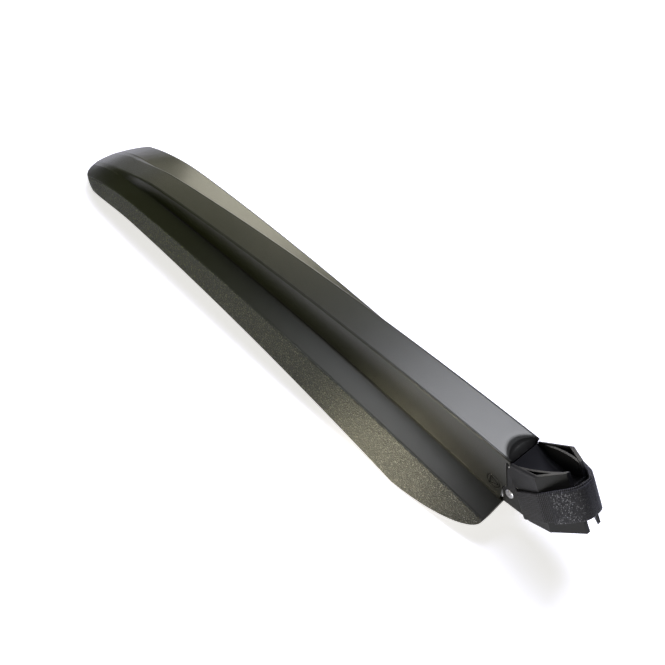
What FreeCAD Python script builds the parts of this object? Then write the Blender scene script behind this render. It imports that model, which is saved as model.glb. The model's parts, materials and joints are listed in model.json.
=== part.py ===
"""Clip-on rear mudguard that straps to a bicycle's seat post.

Frame, in millimetres: +X points forward to the seat post, +Y to the left of the bicycle and +Z up.
The blade stands on its two front lobes and the tip of its tail.
Everything is modelled from the middle of the hinge pin, between the long blade behind it and the bracket
in front. At the end all pieces move so that the origin is on the floor, under the middle of the outline.
"""

import FreeCAD, Part
import math
import os

from FreeCAD import Placement, Rotation, Vector

# Driving sizes
# Names that end in front, middle and rear are the blade's section at the three stations.
SIZES = {
    # blade: where the three stations and the tail's tip lie behind the pin
    "front_station": 5,
    "middle_station": 195,
    "rear_station": 385,
    "blade_reach": 448,
    # blade: moulded wall and the tangent length of its rounded outer corners
    "blade_wall": 2,
    "corner_tangent": 0.8,
    # blade: height of the channel's flat top over the pin
    "top_height_front": 25.3,
    "top_height_middle": 19.1,
    "top_height_rear": -2.7,
    # blade: half the width of the flat top
    "top_half_front": 12,
    "top_half_middle": 10.7,
    "top_half_rear": 9,
    # blade: depth of the channel's side walls and how far they lean out at their foot
    "wall_depth_front": 35.2,
    "wall_depth_middle": 20.2,
    "wall_depth_rear": 5.6,
    "wall_lean_front": 0.3,
    "wall_lean_middle": 2.2,
    "wall_lean_rear": 4,
    # blade: width of the smooth inner wing and its fall from wall to crease
    "wing_width_front": 15,
    "wing_width_middle": 16.4,
    "wing_width_rear": 16.4,
    "wing_fall_front": 4.6,
    "wing_fall_middle": 0.4,
    "wing_fall_rear": -4.4,
    # blade: width and depth of the steep outer skirt
    "skirt_width_front": 13.5,
    "skirt_width_middle": 8.8,
    "skirt_width_rear": 6.2,
    "skirt_depth_front": 24.4,
    "skirt_depth_middle": 15.8,
    "skirt_depth_rear": 10.8,
    # blade: the tail droops, its channel fades out and its plan is rounded
    "droop_start": 345,
    "droop_depth": 20.5,
    "fade_start": 372,
    "fade_length": 55,
    "fade_skirt": 0.4,
    "tail_rounding": 58,
    # blade: the front lobes of the wings
    "lobe_length": 59,
    "wing_front": 3.4,
    # blade: the top plate is scooped down at its front end, longest in the middle
    "front_end": 4.1,
    "scoop_drop": 3,
    "scoop_middle": 9,
    "scoop_side": 2.8,
    "scoop_half": 10.6,
    "scoop_lift": 0.15,
    # hinge
    "pin_diameter": 5.6,
    "pin_stand": 0.6,
    "pin_chamfer": 0.4,
    "bore_clearance": 0.05,
    "knuckle_radius": 5,
    "knuckle_clearance": 0.35,
    "joint_gap": 0.35,
    "hinge_travel": 12,
    "lug_wall": 2,
    "lug_clearance": 0.3,
    "lug_length": 24,
    # blade: round mark with a pointer on its right wall, both as grooves
    "mark_diameter": 9.4,
    "mark_distance": 11.6,
    "mark_depth": 0.6,
    "mark_line": 0.55,
    # bracket: the seat post's lean from the vertical and the ears' plan
    "bracket_lean": 29,
    "ear_wall": 2,
    "ear_bend": 5.4,
    "ear_widest": 28.5,
    "ear_widest_half": 15.4,
    "ear_tip": 44.2,
    "ear_tip_half": 5.4,
    "ear_tip_lean": 1.7,
    # bracket: heights of the ears over the pin, along the seat post
    "ear_top_back": 22.2,
    "ear_top_widest": 23.2,
    "ear_top_tip": 24.1,
    "ear_round": 1.7,
    "ear_foot_back": 6.9,
    "ear_foot_slot": 14.2,
    "ear_foot_widest": 12.5,
    "ear_foot_tip": 14.4,
    # bracket: inner walls and the saddle between them
    "liner_wall": 1.5,
    "liner_start": 13,
    "liner_bow": 1.6,
    "liner_drop": 0.7,
    "liner_foot": 9,
    "saddle_wall": 2,
    "saddle_back": 7.4,
    "saddle_back_height": 21,
    "saddle_middle_height": 9.5,
    "saddle_front_height": 16.5,
    # bracket: curved tongue under the blade's rolled end
    "tongue_radius": 19.9,
    "tongue_wall": 1.8,
    "tongue_clearance": 0.6,
    # strap
    "strap_wall": 1.5,
    "strap_station": 8.3,
    "strap_clearance": 0.4,
    "strap_top": 6.6,
    "strap_foot": 12.6,
    "strap_rise": 19.6,
    # strap: its front part, ahead of the ears' tips and to the right and left of the middle
    "strap_ahead": 10.8,
    "nose_right": 10.4,
    "nose_left": 1.5,
    "shoulder_right": 13.3,
    "shoulder_right_ahead": 3.1,
    "shoulder_left": 6.6,
    "shoulder_left_ahead": 1.8,
    # strap: slots in the ears
    "slot_clearance": 0.4,
    "slot_width": 4,
}

doc = FreeCAD.newDocument("mudguard")
sheet = doc.addObject("Spreadsheet::Sheet", "sizes")
for row, (alias, number) in enumerate(SIZES.items(), start=1):
    sheet.set("A%d" % row, alias)
    sheet.set("B%d" % row, str(number))
    sheet.setAlias("B%d" % row, alias)
doc.recompute()


def size(alias):
    """The number that the sheet holds under an alias."""
    return float(sheet.get(alias))


def bind(thing, **formulas):
    """Ties properties of an object to the sheet."""
    for name, formula in formulas.items():
        thing.setExpression(name.replace("__", "."), formula)


def cell(alias):
    """How an expression names a cell."""
    return "sizes." + alias


# Flat geometry helpers


def offset_path(points, distance):
    """An open path moved sideways to the right of its direction, corner by corner."""
    normals = []
    for (ax, ay), (bx, by) in zip(points, points[1:]):
        run = math.hypot(bx - ax, by - ay)
        normals.append(((by - ay) / run, -(bx - ax) / run))
    moved = [(points[0][0] + distance * normals[0][0], points[0][1] + distance * normals[0][1])]
    for (px, py), (nx, ny), (mx, my) in zip(points[1:-1], normals, normals[1:]):
        scale = distance / (1 + nx * mx + ny * my)
        moved.append((px + scale * (nx + mx), py + scale * (ny + my)))
    moved.append((points[-1][0] + distance * normals[-1][0], points[-1][1] + distance * normals[-1][1]))
    return moved


def toward(start, end, distance):
    """The point at a distance from start on the way to end."""
    run = math.hypot(end[0] - start[0], end[1] - start[1])
    return (start[0] + (end[0] - start[0]) * distance / run, start[1] + (end[1] - start[1]) * distance / run)


def rounded_edges(corners, tangents, lift):
    """Edges round a closed outline: each corner with a tangent length above zero becomes an arc."""
    count = len(corners)
    stops = []
    for index, (corner, tangent) in enumerate(zip(corners, tangents)):
        before = corners[index - 1]
        after = corners[(index + 1) % count]
        if tangent <= 0:
            stops.append((corner, None, corner))
            continue
        start = toward(corner, before, tangent)
        end = toward(corner, after, tangent)
        half = math.hypot(end[0] - start[0], end[1] - start[1]) / 2
        depth = math.sqrt(max(tangent**2 - half**2, 0))
        middle = ((start[0] + end[0]) / 2, (start[1] + end[1]) / 2)
        radius = tangent * half / depth
        sag = radius - math.sqrt(radius**2 - half**2)
        stops.append((start, toward(middle, corner, sag), end))
    edges = []
    for index, (start, crown, end) in enumerate(stops):
        if crown is not None:
            edges.append(Part.Arc(lift(*start), lift(*crown), lift(*end)).toShape())
        following = stops[(index + 1) % count][0]
        edges.append(Part.makeLine(lift(*end), lift(*following)))
    return edges


def prism(name, edges, direction):
    """A plain extruded profile, kept in the document."""
    solid = doc.addObject("Part::Feature", name)
    solid.Shape = Part.Face(Part.Wire(Part.__sortEdges__(edges))).extrude(direction)
    return solid


def chain(points, lift):
    """Straight edges from point to point."""
    return [Part.makeLine(lift(*start), lift(*end)) for start, end in zip(points, points[1:])]


def on_side(across):
    """Places a point of a side view, given as forward and up, at a distance to the left."""
    return lambda forward, up: Vector(forward, across, up)


def on_plan(up):
    """Places a point of a plan view, given as forward and left, at a height."""
    return lambda forward, left: Vector(forward, left, up)


def cylinder_across(name, radius_formula, half_formula):
    """A cylinder along Y, centred on the pin, with its sizes bound to the sheet."""
    rod = doc.addObject("Part::Cylinder", name)
    bind(rod, Radius=radius_formula, Height="2 * (%s)" % half_formula)
    bind(rod, Placement__Base__y="%s" % half_formula)
    rod.Placement = Placement(rod.Placement.Base, Rotation(Vector(1, 0, 0), 90))
    return rod


def fuse(name, shapes):
    union = doc.addObject("Part::MultiFuse", name)
    union.Shapes = shapes
    union.Refine = True
    return union


def cut(name, base, tool):
    rest = doc.addObject("Part::Cut", name)
    rest.Base = base
    rest.Tool = tool
    return rest


def common(name, base, tool):
    overlap = doc.addObject("Part::Common", name)
    overlap.Base = base
    overlap.Tool = tool
    return overlap


# Blade: one moulded piece with a channel, two wings and two skirts


def station_value(name, x):
    """A section size at x, on the parabola through the front, middle and rear stations."""
    front, middle, rear = (size("%s_%s" % (name, place)) for place in ("front", "middle", "rear"))
    half_span = (size("rear_station") - size("front_station")) / 2
    place = (-x - size("middle_station")) / half_span
    return middle + (rear - front) / 2 * place + (rear + front - 2 * middle) / 2 * place**2


def blade_half_section(x):
    """Top, foot, crease and edge of the outer surface on the left side, as left and up."""
    top = (station_value("top_half", x), station_value("top_height", x))
    foot = (top[0] + station_value("wall_lean", x), top[1] - station_value("wall_depth", x))
    crease = (foot[0] + station_value("wing_width", x), foot[1] - station_value("wing_fall", x))
    edge = (crease[0] + station_value("skirt_width", x), crease[1] - station_value("skirt_depth", x))
    fade = min(max((-x - size("fade_start")) / size("fade_length"), 0), 1)
    fade = fade * fade * (3 - 2 * fade)
    past = max(-x - size("droop_start"), 0) / (size("blade_reach") - size("droop_start"))
    droop = size("droop_depth") * past**2
    wall = size("blade_wall")
    top = (top[0], top[1] + (crease[1] + 0.4 * wall - top[1]) * fade - droop)
    foot = (foot[0], foot[1] + (crease[1] + 0.15 * wall - foot[1]) * fade - droop)
    skirt = (crease[1] - edge[1]) * (1 - size("fade_skirt") * fade)
    crease = (crease[0], crease[1] - droop)
    return [top, foot, crease, (edge[0], crease[1] - skirt)]


def blade_section(x):
    """The closed thin-walled section of the blade at x."""
    left = blade_half_section(x)
    outer = [(-side, up) for side, up in reversed(left)] + left
    inner = offset_path(outer, size("blade_wall"))
    corners = outer + list(reversed(inner))
    tangents = [0] + [size("corner_tangent")] * 6 + [0] + [0] * 8
    return Part.Wire(rounded_edges(corners, tangents, lambda left, up: Vector(x, left, up)))


SECTION_COUNT = 28
before_front = 14
past_tail = 14
section_step = (size("blade_reach") + before_front + past_tail) / (SECTION_COUNT - 1)
skin = doc.addObject("Part::Feature", "blade_skin")
skin.Shape = Part.makeLoft([blade_section(before_front - section_step * n) for n in range(SECTION_COUNT)], True, False)

# The side view that the skin keeps: straight front end, joint line, knuckle notch and front lobes
lean = math.radians(size("bracket_lean"))
notch = size("knuckle_radius") + size("knuckle_clearance")


def from_bracket(forward, up):
    """A point of the bracket's own side view, as it lies in the blade's frame."""
    return (
        forward * math.cos(lean) - up * math.sin(lean),
        forward * math.sin(lean) + up * math.cos(lean),
    )


EAR_BACK = (4.6, 18)
BLADE_SNAP = [(-4.1, 23.6), (-6.2, 22.8), (-5.4, 17.8)]
joint_foot = from_bracket(0, size("knuckle_radius"))
lobe_start = -size("wing_front") - size("lobe_length")
lobe_foot = blade_half_section(lobe_start)[3][1]
foot_height = blade_half_section(-size("wing_front"))[1][1]
crease_height = blade_half_section(-size("wing_front"))[2][1]
notch_back = math.sqrt(notch**2 - joint_foot[1] ** 2)
above = size("top_height_front") + 20
below = -80
behind = -size("blade_reach") - 30
side = on_side(-60)
lobe_centre = side(lobe_start, crease_height)
lobe = Part.Ellipse(
    lobe_centre + Vector(size("lobe_length"), 0, 0),
    lobe_centre + Vector(0, 0, lobe_foot - crease_height),
    lobe_centre,
)
notch_arc = (
    (-notch_back, joint_foot[1]),
    (-notch * math.cos(0.5), notch * math.sin(0.5)),
    (-notch, 0),
)
front_line = [(-size("front_end"), above)] + BLADE_SNAP + [(joint_foot[0] - size("joint_gap"), joint_foot[1])]
wing_line = [
    (-notch, 0),
    (-notch, foot_height + 0.2),
    (-size("wing_front"), foot_height + 0.2),
    (-size("wing_front"), crease_height),
]
back_line = [(lobe_start, lobe_foot), (lobe_start, below), (behind, below), (behind, above), front_line[0]]
keep_side = [Part.Arc(*(side(*point) for point in notch_arc)).toShape(), Part.ArcOfEllipse(lobe, 0, math.pi / 2).toShape()]
for line in (front_line + [notch_arc[0]], wing_line, back_line):
    keep_side += chain(line, side)
side_keep = prism("blade_side_view", keep_side, Vector(0, 120, 0))

# The plan that the skin keeps: straight sides and a half ellipse at the tail
rounding_start = -size("blade_reach") + size("tail_rounding")
tail_half = blade_half_section(rounding_start)[3][0]
tail_centre = Vector(rounding_start, 0, below)
if size("tail_rounding") >= tail_half:
    tail = Part.Ellipse(
        tail_centre - Vector(size("tail_rounding"), 0, 0), tail_centre + Vector(0, tail_half, 0), tail_centre
    )
    tail_edge = Part.ArcOfEllipse(tail, -math.pi / 2, math.pi / 2).toShape()
else:
    tail = Part.Ellipse(
        tail_centre + Vector(0, tail_half, 0), tail_centre - Vector(size("tail_rounding"), 0, 0), tail_centre
    )
    tail_edge = Part.ArcOfEllipse(tail, 0, math.pi).toShape()
widest = 60
keep_plan = [tail_edge] + chain(
    [
        (rounding_start, tail_half),
        (rounding_start, widest),
        (30, widest),
        (30, -widest),
        (rounding_start, -widest),
        (rounding_start, -tail_half),
    ],
    on_plan(below),
)
plan_keep = prism("blade_plan", keep_plan, Vector(0, 0, 160))
trimmed = common("blade_trimmed", common("blade_front_trimmed", skin, side_keep), plan_keep)

# Front end of the top plate: a block under it, then one scoop through both


def scoop_section(across, length):
    """The space over the scoop at a distance to the left, from its start in the plate to its front."""
    start_x = -size("front_end") - length
    start_z = blade_half_section(start_x)[0][1] + size("scoop_lift")
    drop = size("scoop_drop")
    radius = (length**2 + drop**2) / (2 * drop)
    half_turn = math.asin(min(length / radius, 1)) / 2
    crown = (start_x + radius * math.sin(half_turn), start_z - radius * (1 - math.cos(half_turn)))
    end = (-size("front_end"), start_z - drop)
    place = on_side(across)
    outline = [end, (10, start_z - drop), (10, above), (start_x, above), (start_x, start_z)]
    return Part.Wire([Part.Arc(place(start_x, start_z), place(*crown), place(*end)).toShape()] + chain(outline, place))


scoop = doc.addObject("Part::Feature", "blade_scoop")
scoop.Shape = Part.makeLoft(
    [
        scoop_section(-size("scoop_half"), size("scoop_side")),
        scoop_section(0, size("scoop_middle")),
        scoop_section(size("scoop_half"), size("scoop_side")),
    ],
    True,
    False,
)
scoop_base = doc.addObject("Part::Box", "blade_front_block")
block_reach = "%s + 1.5" % cell("scoop_middle")
bind(
    scoop_base,
    Length=block_reach,
    Width="2 * %s - %s" % (cell("top_half_front"), cell("blade_wall")),
    Height="%s + 0.9" % cell("scoop_drop"),
    Placement__Base__x="-%s - (%s)" % (cell("front_end"), block_reach),
    Placement__Base__y="%s / 2 - %s" % (cell("blade_wall"), cell("top_half_front")),
    Placement__Base__z="%s - %s - 1.9" % (cell("top_height_front"), cell("scoop_drop")),
)

# Hinge lugs inside the walls, reaching forward between the bracket's ears
ear_inner = size("top_half_front") - size("ear_wall")
lug_outer = ear_inner - size("lug_clearance")
lug_height = size("knuckle_radius")
lugs = []
for turn, hand in ((1, "left"), (-1, "right")):
    lug_side = on_side(turn * lug_outer)
    plate = prism(
        "blade_lug_" + hand,
        [
            Part.Arc(lug_side(0, lug_height), lug_side(lug_height, 0), lug_side(0, -lug_height)).toShape(),
        ]
        + chain(
            [(0, -lug_height), (-size("lug_length"), -lug_height), (-size("lug_length"), lug_height), (0, lug_height)],
            lug_side,
        ),
        Vector(0, -turn * size("lug_wall"), 0),
    )
    root_side = on_side(turn * (lug_outer - 0.5))
    root = prism(
        "blade_lug_root_" + hand,
        chain(
            [
                (-notch - 1, -lug_height),
                (-size("lug_length"), -lug_height),
                (-size("lug_length"), lug_height),
                (-notch - 1, lug_height),
                (-notch - 1, -lug_height),
            ],
            root_side,
        ),
        Vector(0, turn * (size("blade_wall") + 0.2 - size("lug_clearance") + 0.5), 0),
    )
    lugs += [plate, root]

blade_solid = cut("blade_scooped", fuse("blade_with_lugs", [trimmed, scoop_base] + lugs), scoop)
bore_formula = "%s / 2 + %s" % (cell("pin_diameter"), cell("bore_clearance"))
blade_bore = cylinder_across("blade_bore", bore_formula, cell("top_half_front"))
blade_bored = cut("blade_bored", blade_solid, blade_bore)

# Round mark on the right wall: a ring and a pointer toward the pin, both cut as grooves
mark_radius = size("mark_diameter") / 2
line = size("mark_line")
wall_tilt = size("wall_lean_front") * size("top_height_front") / size("wall_depth_front")
mark_y = -size("top_half_front") - wall_tilt + size("mark_depth")
mark_centre = Vector(-size("mark_distance"), mark_y, 0)
outward = Vector(0, -10, 0)


def pointer(reach):
    """A solid triangle that points forward to the pin."""
    turns = (math.radians(0), math.radians(125), math.radians(235))
    corners = [mark_centre + Vector(reach * math.cos(turn), 0, reach * math.sin(turn)) for turn in turns]
    return Part.Face(Part.makePolygon(corners + corners[:1])).extrude(outward)


ring = Part.makeCylinder(mark_radius, 10, mark_centre, outward)
ring = ring.cut(Part.makeCylinder(mark_radius - line, 10, mark_centre, outward))
triangle = pointer(mark_radius - line / 2).cut(pointer(mark_radius - 3 * line))
recess = doc.addObject("Part::Feature", "blade_mark")
recess.Shape = ring.fuse(triangle)
blade = cut("blade", blade_bored, recess)
blade.Label = "blade"

# Bracket: modelled upright along the seat post, then leaned back about the pin
outer_plan = [
    (-20, size("top_half_front")),
    (size("ear_bend"), size("top_half_front")),
    (size("ear_widest"), size("ear_widest_half")),
    (size("ear_tip"), size("ear_tip_half")),
]
inner_plan = offset_path(outer_plan, size("ear_wall"))
tip_slope = (outer_plan[3][0] - outer_plan[2][0], outer_plan[3][1] - outer_plan[2][1])
inner_tip = (size("ear_tip"), inner_plan[3][1] + (size("ear_tip") - inner_plan[3][0]) * tip_slope[1] / tip_slope[0])
ear_outline = outer_plan + [inner_tip] + [inner_plan[2], inner_plan[1], inner_plan[0]]
knuckle = size("knuckle_radius")


def liner_point(share, away):
    """A point on the bowed inner wall, from its start to the ear's tip, moved sideways."""
    start = (size("liner_start"), size("top_half_front") - size("ear_wall") / 2)
    end = (size("ear_tip"), inner_tip[1] + size("liner_wall") / 2)
    run = math.hypot(end[0] - start[0], end[1] - start[1])
    normal = ((start[1] - end[1]) / run, (end[0] - start[0]) / run)
    bow = size("liner_bow") * 4 * share * (1 - share) + away
    return (
        start[0] + (end[0] - start[0]) * share + normal[0] * bow,
        start[1] + (end[1] - start[1]) * share + normal[1] * bow,
    )


def mirrored(points, turn):
    return [(forward, left * turn) for forward, left in points]


def arc_through(points, lift):
    return Part.Arc(*(lift(*point) for point in points)).toShape()


low = on_plan(-40)
ears = []
liners = []
for turn, hand in ((1, "left"), (-1, "right")):
    outline = mirrored(ear_outline, turn)
    ears.append(prism("ear_" + hand, chain(outline + outline[:1], low), Vector(0, 0, 80)))
    outer_line = mirrored([liner_point(share, size("liner_wall") / 2) for share in (0, 0.5, 1)], turn)
    inner_line = mirrored([liner_point(share, -size("liner_wall") / 2) for share in (0, 0.5, 1)], turn)
    liners.append(
        prism(
            "liner_" + hand,
            [arc_through(outer_line, low), arc_through(inner_line, low)]
            + chain([outer_line[0], inner_line[0]], low)
            + chain([outer_line[2], inner_line[2]], low),
            Vector(0, 0, 80),
        )
    )

# Side view of the ears, from the knuckle round the foot, the tips and the top
SIDE_HALF = 40
ear_side = on_side(-SIDE_HALF)
knuckle_end = (-knuckle * math.cos(math.radians(5.5)), knuckle * math.sin(math.radians(5.5)))
ear_view = prism(
    "ear_side_view",
    [
        Part.Arc(
            ear_side(0, knuckle),
            ear_side(-knuckle * math.cos(math.radians(47)), knuckle * math.sin(math.radians(47))),
            ear_side(*knuckle_end),
        ).toShape()
    ]
    + chain(
        [
            knuckle_end,
            (-7.4, -size("ear_foot_back")),
            (size("strap_station") + size("slot_width") / 2, -size("ear_foot_slot")),
            (size("ear_widest") + 0.8, -size("ear_foot_widest")),
            (size("ear_tip"), -size("ear_foot_tip")),
            (size("ear_tip") - size("ear_tip_lean"), size("ear_top_tip")),
            (size("ear_widest"), size("ear_top_widest")),
            (EAR_BACK[0] + 3.5, size("ear_top_back")),
            (EAR_BACK[0] + 2.3, EAR_BACK[1] + 1.9),
            EAR_BACK,
            (0, knuckle),
        ],
        ear_side,
    ),
    Vector(0, 2 * SIDE_HALF, 0),
)
drop = size("liner_drop")
liner_view = prism(
    "liner_side_view",
    chain(
        [
            (size("liner_start") - 3, -size("liner_foot")),
            (size("ear_tip"), -size("liner_foot")),
            (size("ear_tip") - size("ear_tip_lean"), size("ear_top_tip") - drop),
            (size("ear_widest"), size("ear_top_widest") - drop),
            (size("liner_start") - 3, size("ear_top_back") - drop),
            (size("liner_start") - 3, -size("liner_foot")),
        ],
        ear_side,
    ),
    Vector(0, 2 * SIDE_HALF, 0),
)

# Saddle between the inner walls, hollowed lengthwise
thick = size("saddle_wall")
saddle_top = [
    (size("saddle_back"), size("saddle_back_height")),
    ((size("saddle_back") + size("ear_tip")) / 2, size("saddle_middle_height")),
    (size("ear_tip"), size("saddle_front_height")),
]
saddle_under = [(forward, up - thick) for forward, up in saddle_top]
saddle_strip = prism(
    "saddle_strip",
    [arc_through(saddle_top, ear_side), arc_through(saddle_under, ear_side)]
    + chain([saddle_top[0], saddle_under[0]], ear_side)
    + chain([saddle_top[2], saddle_under[2]], ear_side),
    Vector(0, 2 * SIDE_HALF, 0),
)
middle_line = [liner_point(share, 0) for share in (0, 0.5, 1)]
shoulder = (size("saddle_back"), size("top_half_front") - size("ear_wall") / 2)
left_line = mirrored(middle_line, 1)
right_line = mirrored(middle_line, -1)
saddle_plan = prism(
    "saddle_plan",
    [arc_through(left_line, low), arc_through(right_line, low)]
    + chain([left_line[0], shoulder, (shoulder[0], -shoulder[1]), right_line[0]], low)
    + chain([left_line[2], right_line[2]], low),
    Vector(0, 0, 80),
)

# Tongue: a strip curved about the pin, tucked under the blade's rolled end
tongue_half = size("top_half_front") - size("blade_wall") - size("tongue_clearance")
tongue_start = size("bracket_lean") - 40
tongue_end = size("bracket_lean")


def tongue_point(angle, radius):
    """A point about the pin, at an angle forward from the bracket's upright."""
    return (radius * math.sin(math.radians(angle)), radius * math.cos(math.radians(angle)))


tongue_side = on_side(-tongue_half)
tongue_angles = (tongue_start, (tongue_start + tongue_end) / 2, tongue_end)
tongue_out = [tongue_point(angle, size("tongue_radius")) for angle in tongue_angles]
tongue_in = [tongue_point(angle, size("tongue_radius") - size("tongue_wall")) for angle in tongue_angles]
tongue = prism(
    "tongue",
    [arc_through(tongue_out, tongue_side), arc_through(tongue_in, tongue_side)]
    + chain([tongue_out[0], tongue_in[0]], tongue_side)
    + chain([tongue_out[2], tongue_in[2]], tongue_side),
    Vector(0, 2 * tongue_half, 0),
)

# The ears' outer top edges are rounded from the joint to the crease
ears_shaped = common("ears_shaped", fuse("ears", ears), ear_view)
doc.recompute()


def on_ear_face(point):
    """Whether a point of the ears' top lies on the outer face of their first stretch."""
    share = (point.x - size("ear_bend")) / (size("ear_widest") - size("ear_bend"))
    half = size("top_half_front") + share * (size("ear_widest_half") - size("top_half_front"))
    return -0.01 < share < 1.01 and abs(abs(point.y) - half) < 0.01 and point.z > size("ear_top_back") - 0.01


rounded_ears = doc.addObject("Part::Fillet", "ears_rounded")
rounded_ears.Base = ears_shaped
radius = size("ear_round")
rounded_ears.Edges = [
    (number, radius, radius)
    for number, edge in enumerate(ears_shaped.Shape.Edges, start=1)
    if len(edge.Vertexes) == 2 and all(on_ear_face(vertex.Point) for vertex in edge.Vertexes)
]

bracket_parts = fuse(
    "bracket_parts",
    [
        rounded_ears,
        common("liners_shaped", fuse("liners", liners), liner_view),
        common("saddle", saddle_strip, saddle_plan),
        tongue,
    ],
)
slot = doc.addObject("Part::Box", "strap_slots")
bind(
    slot,
    Length=cell("slot_width"),
    Width="4 * %s" % cell("top_half_front"),
    Height="%s + %s + 2 * %s" % (cell("strap_top"), cell("strap_foot"), cell("slot_clearance")),
    Placement__Base__x="%s - %s / 2 + 0.5" % (cell("strap_station"), cell("slot_width")),
    Placement__Base__y="-2 * %s" % cell("top_half_front"),
    Placement__Base__z="-%s - %s" % (cell("strap_foot"), cell("slot_clearance")),
)
bracket_bore = cylinder_across("bracket_bore", cell("pin_diameter") + " / 2", "2 * " + cell("top_half_front"))
bracket = cut("bracket", bracket_parts, fuse("bracket_cuts", [slot, bracket_bore]))
bracket.Label = "bracket"
leaned = Placement(Vector(0, 0, 0), Rotation(Vector(0, 1, 0), -size("bracket_lean")))
bracket.Placement = leaned

# Hinge pin: a plain metal rod with chamfered ends that stand a little out of the ears
pin_rod = cylinder_across(
    "pin_rod", "%s / 2" % cell("pin_diameter"), "%s + %s" % (cell("top_half_front"), cell("pin_stand"))
)
doc.recompute()
pin = doc.addObject("Part::Chamfer", "hinge_pin")
pin.Base = pin_rod
rims = [number for number, edge in enumerate(pin_rod.Shape.Edges, start=1) if len(edge.Vertexes) == 1]
pin.Edges = [(number, size("pin_chamfer"), size("pin_chamfer")) for number in rims]
pin.Label = "hinge_pin"

# Strap: a loop of webbing through both slots, round the ears and out in front for the seat post
half = size("strap_wall") / 2
reach = size("ear_tip") + size("strap_ahead")
beside = size("strap_clearance") + half
slope = (size("ear_widest_half") - size("top_half_front")) / (size("ear_widest") - size("ear_bend"))
slot_side = size("top_half_front") + (size("strap_station") - size("ear_bend")) * slope + beside + 0.3
strap_route = [
    ((size("strap_station"), -slot_side), 1.9),
    ((size("ear_widest"), -size("ear_widest_half") - beside), 2),
    ((size("ear_tip") + size("shoulder_right_ahead"), -size("shoulder_right")), 4),
    ((reach, -size("nose_right")), 3.6),
    ((reach, -size("nose_left")), 3.2),
    ((size("ear_tip") + size("shoulder_left_ahead"), size("shoulder_left")), 4),
    ((size("ear_widest"), size("ear_widest_half") + beside), 2),
    ((size("strap_station"), slot_side), 1.9),
]
route_corners = [corner for corner, tangent in strap_route]
route_tangents = [tangent for corner, tangent in strap_route]
centre_line = Part.Wire(rounded_edges(route_corners, route_tangents, on_plan(-30)))
strap_outside = centre_line.makeOffset2D(half)
strap_inside = centre_line.makeOffset2D(-half)
if strap_outside.Length < strap_inside.Length:
    strap_outside, strap_inside = strap_inside, strap_outside
strap_ring = doc.addObject("Part::Feature", "strap_ring")
strap_ring.Shape = Part.Face(strap_outside).cut(Part.Face(strap_inside)).extrude(Vector(0, 0, 80))
rise = math.tan(math.radians(size("strap_rise")))
far = reach + 20
near = size("strap_station") - 20
strap_view = prism(
    "strap_side_view",
    chain(
        [
            (near, size("strap_top") + rise * (near - size("strap_station"))),
            (far, size("strap_top") + rise * (far - size("strap_station"))),
            (far, -size("strap_foot") + rise * (far - size("strap_station"))),
            (near, -size("strap_foot") + rise * (near - size("strap_station"))),
            (near, size("strap_top") + rise * (near - size("strap_station"))),
        ],
        ear_side,
    ),
    Vector(0, 2 * SIDE_HALF, 0),
)
strap = common("strap", strap_ring, strap_view)
strap.Label = "strap"
strap.Placement = leaned

doc.recompute()

# The row's own frame: its origin is on the floor, under the middle of the whole outline
NODES = [blade, bracket, pin, strap]
boxes = [node.Shape.optimalBoundingBox(False, False) for node in NODES]
low_x = min(box.XMin for box in boxes)
high_x = max(box.XMax for box in boxes)
low_z = min(box.ZMin for box in boxes)
pin_place = Vector(-(low_x + high_x) / 2, 0, -low_z)
for node in NODES:
    node.Placement = Placement(pin_place, Rotation()).multiply(node.Placement)
doc.recompute()
print("hinge pin at %.3f, %.3f, %.3f mm" % tuple(pin_place))

for thing in doc.Objects:
    bad = [state for state in thing.State if state in ("Invalid", "Error")]
    if bad:
        raise RuntimeError("%s is %s" % (thing.Name, ", ".join(bad)))
os.makedirs("parts", exist_ok=True)
for node in NODES:
    shape = node.Shape
    if shape.isNull() or not shape.isValid() or len(shape.Solids) != 1:
        raise RuntimeError("%s is not one sound solid (%d)" % (node.Label, len(shape.Solids)))
    box = shape.BoundBox
    print(
        "%-10s volume %8.0f mm3  x %.1f..%.1f  y %.1f..%.1f  z %.1f..%.1f"
        % (node.Label, shape.Volume, box.XMin, box.XMax, box.YMin, box.YMax, box.ZMin, box.ZMax)
    )
    shape.exportStep("parts/%s.step" % node.Label)
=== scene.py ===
import json
import math

import bmesh
import bpy
from mathutils import Matrix, Vector


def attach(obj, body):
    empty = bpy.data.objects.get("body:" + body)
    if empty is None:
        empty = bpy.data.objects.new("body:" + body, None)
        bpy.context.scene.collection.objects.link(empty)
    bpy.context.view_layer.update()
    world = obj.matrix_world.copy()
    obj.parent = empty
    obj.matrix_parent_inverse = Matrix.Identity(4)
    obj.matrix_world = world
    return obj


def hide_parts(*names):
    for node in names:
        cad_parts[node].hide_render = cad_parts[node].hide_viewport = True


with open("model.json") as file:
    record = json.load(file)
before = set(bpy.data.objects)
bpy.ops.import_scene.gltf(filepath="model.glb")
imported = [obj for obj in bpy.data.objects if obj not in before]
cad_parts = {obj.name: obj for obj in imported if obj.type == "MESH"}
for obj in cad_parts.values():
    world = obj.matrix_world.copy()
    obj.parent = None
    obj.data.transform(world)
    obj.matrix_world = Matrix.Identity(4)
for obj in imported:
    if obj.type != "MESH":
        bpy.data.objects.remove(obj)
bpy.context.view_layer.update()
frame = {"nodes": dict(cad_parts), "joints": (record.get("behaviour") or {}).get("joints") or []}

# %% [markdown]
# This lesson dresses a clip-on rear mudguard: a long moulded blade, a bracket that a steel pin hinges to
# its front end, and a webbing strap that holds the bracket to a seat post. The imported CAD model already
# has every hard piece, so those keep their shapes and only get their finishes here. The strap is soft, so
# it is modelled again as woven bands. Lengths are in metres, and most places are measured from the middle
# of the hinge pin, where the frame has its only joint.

MM = 0.001
PIN = Vector(frame["joints"][0]["pos_m"])
print("hinge pin at", [round(value / MM, 1) for value in PIN], "mm")

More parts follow.
